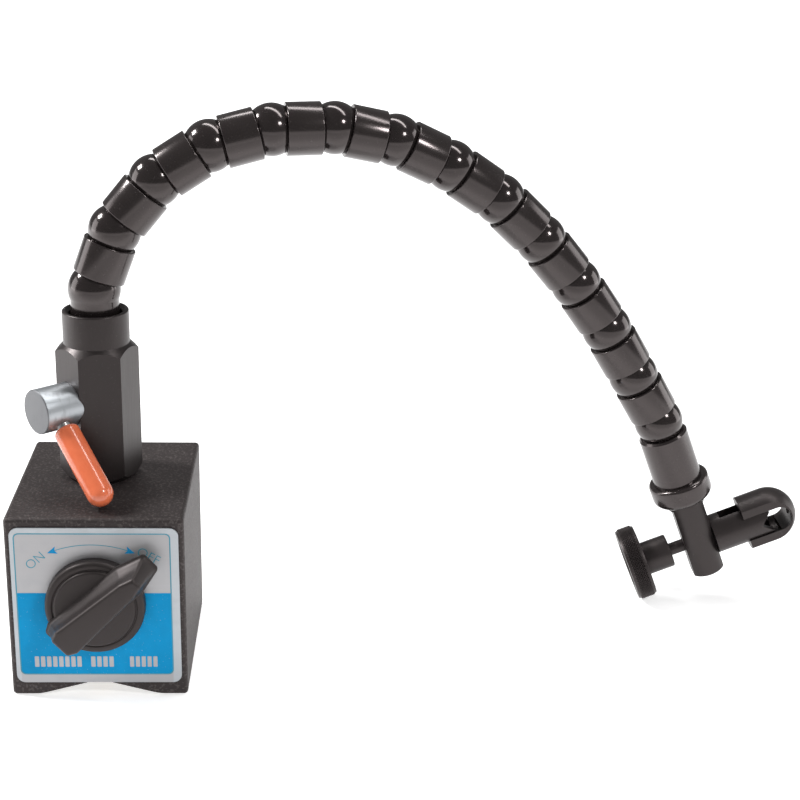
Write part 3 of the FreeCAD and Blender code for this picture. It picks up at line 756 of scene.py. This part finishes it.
sleeve_finish = finish("sleeve_black", sleeve_black)
seat_radius, bore_radius, sleeve_radius, half_sleeve, half_pitch = 7.59, 3.0, 7.6, 5.1, 9.03
lip = math.degrees(math.acos((half_pitch - half_sleeve) / seat_radius))
throat = math.degrees(math.asin(bore_radius / seat_radius))
for number in range(1, 14):
    name = f"sleeve_{number:02d}"
    middle = (ball_middles[number - 1] + ball_middles[number]) / 2
    low_seat = arc(seat_radius, throat, lip, -half_pitch, 14)
    high_seat = arc(seat_radius, 180 - lip, 180 - throat, half_pitch, 14)
    wall = softened([
        low_seat[-1] + (0,), (sleeve_radius, -half_sleeve, 0.35), (sleeve_radius, half_sleeve, 0.35),
        high_seat[0] + (0,),
    ])
    outline = low_seat[:-1] + wall + high_seat[1:]
    turn_piece(name, outline, middle, run_ways[number - 1], sleeve_finish, name)


# ---- End tube and swivel nut --------------------------------------------------------------
# The last link is a longer tube. A union nut pressed on its end holds the clamp's swivel head,
# and the rope's ferrule bears on a step inside. The nut has generous turned roundings.

last_ball, last_way = ball_middles[-1], run_ways[-1]
tube_lip, tube_end = 4.4, 21.0
seat = arc(seat_radius, throat, math.degrees(math.acos(tube_lip / seat_radius)), 0.0, 14)
tube = seat + [
    (7.05, tube_lip), (7.65, 5.0), (7.65, tube_end), (6.35, tube_end), (6.35, 22.3), (4.4, 22.3),
    (4.4, 12.0), (bore_radius, 12.0),
]
turn_piece("end_tube", tube, last_ball, last_way, sleeve_finish, "end")
nut = softened([
    (6.4, tube_end, 0.1), (9.55, tube_end, 1.2), (9.55, 28.3, 2.3), (4.5, 28.3, 0.2), (4.5, 24.7, 0),
    (6.4, 24.7, 0),
], 8)
turn_piece("collar_nut", nut, last_ball, last_way, sleeve_finish, "end")
wear(["rope_ferrule"], machined_steel)


# ---- Wire rope ----------------------------------------------------------------------------
# Six galvanised strands laid round a core, from the pull block's socket to the ferrule in the
# end tube. Each stretch bends at one joint, and the next stretch takes up its lay.

def galvanised(shade):
    wires = shade.noise(3800.0, 2.0, stretch=(1, 1, 0.3))
    cloud = shade.noise(240.0, 3.0)
    return {
        "Base Color": cloud.colours((0.34, 0.34, 0.35), (0.56, 0.56, 0.57)),
        "Roughness": 0.30 + wires * 0.25,
        "Metallic": 1.0,
        "Normal": wires.bump(0.00003, 0.6),
    }


def rope_tree(material):
    """Lays strands round a path. Its sizes are inputs, in metres and radians."""
    tree = bpy.data.node_groups.new("laid_rope", "GeometryNodeTree")
    sockets = {}
    for label, kind, value in (
        ("Path", "NodeSocketGeometry", None), ("Strands", "NodeSocketInt", 6),
        ("Strand radius", "NodeSocketFloat", 0.0004), ("Lay radius", "NodeSocketFloat", 0.0008),
        ("Core radius", "NodeSocketFloat", 0.00045), ("Turns per metre", "NodeSocketFloat", 90.0),
        ("Metres laid before", "NodeSocketFloat", 0.0),
    ):
        made = tree.interface.new_socket(label, in_out="INPUT", socket_type=kind)
        if value is not None:
            made.default_value = value
        sockets[label] = made.identifier
    tree.interface.new_socket("Rope", in_out="OUTPUT", socket_type="NodeSocketGeometry")

    def add(kind, settings=None, **feeds):
        """A node with its settings, where _2=value feeds its input number 2."""
        node = tree.nodes.new(kind)
        for key, value in (settings or {}).items():
            setattr(node, key, value)
        for key, value in feeds.items():
            socket = node.inputs[int(key[1:])]
            if hasattr(value, "is_output"):
                tree.links.new(value, socket)
            else:
                socket.default_value = value
        return node

    def maths(operation, first, second):
        return add("ShaderNodeMath", {"operation": operation}, _0=first, _1=second).outputs[0]

    given = add("NodeGroupInput").outputs
    path = add("GeometryNodeResampleCurve", _0=given["Path"], _2=24).outputs[0]
    copies = add(
        "GeometryNodeDuplicateElements", {"domain": "SPLINE"}, _0=path, _2=given["Strands"]
    )
    length = add("GeometryNodeSplineParameter").outputs["Length"]
    laid = maths("ADD", length, given["Metres laid before"])
    share = maths("DIVIDE", copies.outputs["Duplicate Index"], given["Strands"])
    turns = maths("ADD", maths("MULTIPLY", laid, given["Turns per metre"]), share)
    spun = add(
        "ShaderNodeVectorRotate", {"rotation_type": "AXIS_ANGLE"},
        _0=add("GeometryNodeInputNormal").outputs[0], _2=add("GeometryNodeInputTangent").outputs[0],
        _3=maths("MULTIPLY", turns, 2 * math.pi),
    ).outputs[0]
    offset = add(
        "ShaderNodeVectorMath", {"operation": "SCALE"}, _0=spun, _3=given["Lay radius"]
    ).outputs[0]
    strands = add("GeometryNodeSetPosition", _0=copies.outputs[0], _3=offset).outputs[0]
    ring = "GeometryNodeCurvePrimitiveCircle"
    round_strand = add(ring, _0=8, _4=given["Strand radius"]).outputs[0]
    round_core = add(ring, _0=8, _4=given["Core radius"]).outputs[0]
    joined = tree.nodes.new("GeometryNodeJoinGeometry")
    for curve, profile in ((strands, round_strand), (path, round_core)):
        solid = tree.nodes.new("GeometryNodeCurveToMesh")
        tree.links.new(curve, solid.inputs["Curve"])
        tree.links.new(profile, solid.inputs["Profile Curve"])
        solid.inputs["Fill Caps"].default_value = True
        tree.links.new(solid.outputs[0], joined.inputs[0])
    real = add("GeometryNodeRealizeInstances", _0=joined.outputs[0]).outputs[0]
    smooth = add("GeometryNodeSetShadeSmooth", _0=real).outputs[0]
    coated = tree.nodes.new("GeometryNodeSetMaterial")
    tree.links.new(smooth, coated.inputs["Geometry"])
    coated.inputs["Material"].default_value = material
    tree.links.new(coated.outputs[0], tree.nodes.new("NodeGroupOutput").inputs[0])
    return tree, sockets


rope_steel = finish("galvanised_steel", galvanised)
rope_maker, rope_inputs = rope_tree(rope_steel)
wear(["wire_rope"], rope_steel)
lengths_laid = []


def rope_stretch(name, points):
    """One stretch of rope along points."""
    curve = bpy.data.curves.new(name, "CURVE")
    curve.dimensions = "3D"
    spline = curve.splines.new("POLY")
    spline.points.add(len(points) - 1)
    for knot, point in zip(spline.points, points):
        knot.co = (*point, 1)
    carrier = bpy.data.objects.new(name, curve)
    layer = carrier.modifiers.new("rope", "NODES")
    layer.node_group = rope_maker
    layer[rope_inputs["Metres laid before"]] = sum(lengths_laid, 0.0)
    mesh = plain_mesh(carrier, name)
    lengths_laid.append(sum((b - a).length for a, b in zip(points, points[1:])))
    mesh.materials.clear()
    mesh.materials.append(rope_steel)
    piece = bpy.data.objects.new(name, mesh)
    bpy.context.scene.collection.objects.link(piece)
    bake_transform(piece)
    return piece


post_way = Vector((0, 0, 1))
foot_height, first_reach, last_reach, reach, bend_half = 0.082, 0.008, 0.0175, 0.00903, 0.0065
rope_foot = Vector((ball_middles[0].x, ball_middles[0].y, foot_height))
rope_neck = ball_middles[0] - post_way * first_reach
slack_low, slack_high = rope_foot + post_way * 0.008, rope_foot + post_way * 0.012
stretch = rope_stretch("rope_at_block", [rope_foot, slack_low, slack_high, rope_neck])
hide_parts("wire_rope")
ways = [post_way] + run_ways
for number, (middle, way_in, way_out) in enumerate(zip(ball_middles, ways, ways[1:]), 1):
    enter = middle - way_in * (first_reach if number == 1 else reach)
    turn = [
        enter * (1 - t) ** 2 + middle * 2 * t * (1 - t) + (middle + way_out * reach) * t**2
        for t in (k / 12 for k in range(13))
    ]
    if number == 14:
        turn.append(middle + way_out * last_reach)
    before = "base" if number == 1 else f"sleeve_{number - 1:02d}"
    after = "end" if number == 14 else f"sleeve_{number:02d}"
    near, far = middle - way_in * bend_half, middle + way_out * bend_half
    if number == 1:
        rope_stretch("rope_01", turn)
        continue
    rope_stretch(f"rope_{number:02d}_in", turn[:7])
    rope_stretch(f"rope_{number:02d}_out", turn[6:])


# ---- Clamp body, jaw and draw hook --------------------------------------------------------
# Steel parts in a satin black finish: the body with its milled flats, the bored jaw with a V
# in its lips, and the round-ended hook. Edges are just broken and catch the light.

def satin_black(shade):
    grain = shade.noise(2100.0, 2.0)
    cloud = shade.noise(140.0, 4.0)
    worn = shade.noise(600.0, 4.0).ramp(0.64, 0.74)
    tone = cloud.colours((0.0115, 0.0093, 0.0092), (0.0190, 0.0160, 0.0157))
    return {
        "Base Color": (worn * 0.25).colours(tone, (0.085, 0.078, 0.076)),
        "Roughness": 0.30 + grain * 0.12 + cloud * 0.1,
        "Specular IOR Level": 0.45,
        "Specular Tint": warm_gloss,
        "Normal": grain.bump(0.000012, 0.5),
    }


clamp_finish = finish("satin_black", satin_black)
finished_copy("clamp_body", "clamp", clamp_finish)
finished_copy("clamp_jaw", "jaw", clamp_finish, 0.12)
finished_copy("draw_hook", "hook", clamp_finish, 0.15)


# ---- Thumb screw and its knurled head -----------------------------------------------------
# A turned screw with a stout hub, and a head pressed on its tang. The head's rim is diamond
# knurled between two chamfers, and its outer face has a shallow dish.

def knurl_tree(material):
    """Diamonds in staggered rows round the +Z axis. Its sizes are inputs, in metres."""
    tree = bpy.data.node_groups.new("diamond_knurl", "GeometryNodeTree")
    for label, kind, value in (
        ("Diamond", "NodeSocketGeometry", None), ("Teeth", "NodeSocketInt", 72),
        ("Rows", "NodeSocketInt", 9), ("Radius", "NodeSocketFloat", 0.0114),
        ("First row", "NodeSocketFloat", 0.00107), ("Row pitch", "NodeSocketFloat", 0.00047),
    ):
        made = tree.interface.new_socket(label, in_out="INPUT", socket_type=kind)
        if value is not None:
            made.default_value = value
    tree.interface.new_socket("Knurl", in_out="OUTPUT", socket_type="NodeSocketGeometry")
    given = tree.nodes.new("NodeGroupInput").outputs

    def maths(operation, first, second=0.0):
        node = tree.nodes.new("ShaderNodeMath")
        node.operation = operation
        for socket, value in zip(node.inputs, (first, second)):
            if isinstance(value, (int, float)):
                socket.default_value = value
            else:
                tree.links.new(value, socket)
        return node.outputs[0]

    index = tree.nodes.new("GeometryNodeInputIndex").outputs[0]
    row = maths("FLOOR", maths("DIVIDE", index, given["Teeth"]))
    column = maths("SUBTRACT", index, maths("MULTIPLY", row, given["Teeth"]))
    shift = maths("MULTIPLY", maths("MODULO", row, 2.0), 0.5)
    turned_by = maths("DIVIDE", maths("ADD", column, shift), given["Teeth"])
    angle = maths("MULTIPLY", turned_by, 2 * math.pi)
    radial = tree.nodes.new("ShaderNodeCombineXYZ")
    tree.links.new(maths("COSINE", angle), radial.inputs[0])
    tree.links.new(maths("SINE", angle), radial.inputs[1])
    out = tree.nodes.new("ShaderNodeVectorMath")
    out.operation = "SCALE"
    tree.links.new(radial.outputs[0], out.inputs[0])
    tree.links.new(given["Radius"], out.inputs["Scale"])
    lift = tree.nodes.new("ShaderNodeCombineXYZ")
    height = maths("ADD", maths("MULTIPLY", row, given["Row pitch"]), given["First row"])
    tree.links.new(height, lift.inputs[2])
    place = tree.nodes.new("ShaderNodeVectorMath")
    tree.links.new(out.outputs[0], place.inputs[0])
    tree.links.new(lift.outputs[0], place.inputs[1])
    points = tree.nodes.new("GeometryNodePoints")
    tree.links.new(maths("MULTIPLY", given["Teeth"], given["Rows"]), points.inputs["Count"])
    tree.links.new(place.outputs[0], points.inputs["Position"])
    turn = tree.nodes.new("FunctionNodeAxesToRotation")
    turn.primary_axis, turn.secondary_axis = "Z", "X"
    tree.links.new(radial.outputs[0], turn.inputs[0])
    turn.inputs[1].default_value = (0, 0, 1)
    instances = tree.nodes.new("GeometryNodeInstanceOnPoints")
    tree.links.new(points.outputs[0], instances.inputs["Points"])
    tree.links.new(given["Diamond"], instances.inputs["Instance"])
    tree.links.new(turn.outputs[0], instances.inputs["Rotation"])
    real = tree.nodes.new("GeometryNodeRealizeInstances")
    tree.links.new(instances.outputs[0], real.inputs[0])
    coated = tree.nodes.new("GeometryNodeSetMaterial")
    tree.links.new(real.outputs[0], coated.inputs["Geometry"])
    coated.inputs["Material"].default_value = material
    tree.links.new(coated.outputs[0], tree.nodes.new("NodeGroupOutput").inputs[0])
    return tree


screw_place = Vector(joints["screw_turn"]["pos_m"])
screw_way = Vector(joints["screw_turn"]["axis"]).normalized()
screw = softened([
    (0, -23.2, 0), (3.0, -23.2, 0), (3.0, -18.3, 0), (5.3, -18.3, 0.15), (5.3, -9.7, 0.5),
    (2.0, -9.7, 0.2), (2.0, 16.5, 0.4), (0, 16.5, 0),
])
turn_piece("thumb_screw", screw, screw_place, screw_way, clamp_finish, "screw", 64)

head = softened([
    (3.0, -23.2, 0), (7.2, -23.6, 0.3), (7.5, -24.2, 0.15), (11.2, -24.2, 0.2), (11.4, -23.6, 0),
    (11.4, -18.9, 0), (11.2, -18.3, 0.2), (3.0, -18.3, 0),
])
head_shape = turned(head, screw_place, screw_way, 144)
across_tooth, along_tooth, tooth_foot, tooth_height = 0.00047, 0.0005, -0.00006, 0.00048
diamond = bmesh.new()
foot = [
    diamond.verts.new((x, y, tooth_foot))
    for x, y in ((across_tooth, 0), (0, along_tooth), (-across_tooth, 0), (0, -along_tooth))
]
point = diamond.verts.new((0, 0, tooth_height))
diamond.faces.new(list(reversed(foot)))
for k in range(4):
    diamond.faces.new([foot[k], foot[(k + 1) % 4], point])
tooth = bpy.data.meshes.new("diamond")
diamond.to_mesh(tooth)
diamond.free()
cutter = bpy.data.objects.new("knurl", tooth)
layer = cutter.modifiers.new("knurl", "NODES")
layer.node_group = knurl_tree(clamp_finish)
knurl = plain_mesh(cutter, "knurl")
turn_over = screw_way.to_track_quat("Z", "Y").to_matrix().to_4x4()
head_back = screw_place - screw_way * 0.0242
knurl.transform(Matrix.Translation(head_back) @ turn_over)
head_shape.from_mesh(knurl)
bpy.data.meshes.remove(knurl)
add_piece("knurled_head", to_mesh(head_shape, "knurled_head", 28), clamp_finish, "screw",
          "thumb_head")


# ---- Studio -------------------------------------------------------------------------------
# A flat sheet of white paper with a painted glow, dimmed to painted shade where the fronts mirror
# it, in a pale room. A crisp key stands high on the left, a softer one on the right, with a strip
# overhead and two panels.

def paper(shade):
    x, y, z = shade.place().xyz()
    cloud = shade.noise(30.0, 2.0)
    # Painted glow: the floor glows, dimmed to a patch of painted shade in front of the object and
    # brighter behind it and far off.
    near = y.ramp(-0.22, -0.08) * 0.42 + y.ramp(0.15, 1.0) * 0.5
    beyond = 1 - (1 - abs(x - 0.1).ramp(0.45, 0.85)) * y.ramp(-1.0, -0.5)
    painted_glow = 0.08 + near + beyond * 0.85
    return {
        "Base Color": cloud.colours((0.84, 0.84, 0.84), (0.88, 0.88, 0.88)),
        "Roughness": 0.9,
        "Emission Color": painted_glow.colours((0, 0, 0), (1, 1, 1)),
        "Emission Strength": 1.0,
    }


floor_half = 30.0
sheet = bpy.data.meshes.new("floor")
sheet.from_pydata(
    [(-floor_half, -floor_half, 0), (floor_half, -floor_half, 0), (floor_half, floor_half, 0),
     (-floor_half, floor_half, 0)],
    [], [(0, 1, 2, 3)],
)
floor = bpy.data.objects.new("floor", sheet)
bpy.context.scene.collection.objects.link(floor)
sheet.materials.append(finish("glowing_floor_paper", paper))
floor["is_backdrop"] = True

world = bpy.data.worlds.new("room")
world.use_nodes = True
background = world.node_tree.nodes["Background"]
background.inputs["Color"].default_value = (1, 1, 1, 1)
seen = world.node_tree.nodes.new("ShaderNodeLightPath")
glow = world.node_tree.nodes.new("ShaderNodeMapRange")
glow.inputs["To Min"].default_value, glow.inputs["To Max"].default_value = 0.22, 1.0
world.node_tree.links.new(seen.outputs["Is Camera Ray"], glow.inputs["Value"])
world.node_tree.links.new(glow.outputs["Result"], background.inputs["Strength"])
bpy.context.scene.world = world


def soft_box(name, place, target, size, watts):
    light = bpy.data.lights.new(name, "AREA")
    light.shape = "RECTANGLE"
    light.size, light.size_y = size
    light.energy = watts
    lamp = bpy.data.objects.new(name, light)
    lamp.location = place
    lamp.rotation_euler = (Vector(target) - Vector(place)).to_track_quat("-Z", "Y").to_euler()
    bpy.context.scene.collection.objects.link(lamp)


middle = Vector((0.07, 0.01, 0.08))
soft_box("key", middle + Vector((-0.74, 0.14, 0.66)), middle, (0.20, 0.20), 10)
soft_box("second", middle + Vector((0.616, -0.616, 0.66)), middle, (0.16, 0.16), 4)
soft_box("overhead_strip", middle + Vector((0.15, 0.20, 0.95)), middle, (1.2, 0.13), 5.5)
soft_box("left_panel", (-0.95, 0.10, 0.30), middle, (0.5, 0.6), 3)
soft_box("right_panel", (1.05, 0.20, 0.30), middle, (0.5, 0.6), 2.5)

azimuth, elevation, roll = (math.radians(a) for a in (2.318, 19.812, 1.078))
level = math.cos(elevation)
forward = Vector((math.sin(azimuth) * level, math.cos(azimuth) * level, -math.sin(elevation)))
right_way = forward.cross(Vector((0, 0, 1))).normalized()
up_way = right_way.cross(forward)
tilted_right = right_way * math.cos(roll) + up_way * math.sin(roll)
tilted_up = up_way * math.cos(roll) - right_way * math.sin(roll)
lens = bpy.data.cameras.new("camera")
lens.lens = 79.41
camera = bpy.data.objects.new("camera", lens)
axes = Matrix((tilted_right, tilted_up, -forward)).transposed()
camera.matrix_world = Matrix.Translation((0.066173, -0.480726, 0.253022)) @ axes.to_4x4()
bpy.context.scene.collection.objects.link(camera)
bpy.context.scene.camera = camera
bpy.context.scene.view_settings.view_transform = "Standard"

low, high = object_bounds()
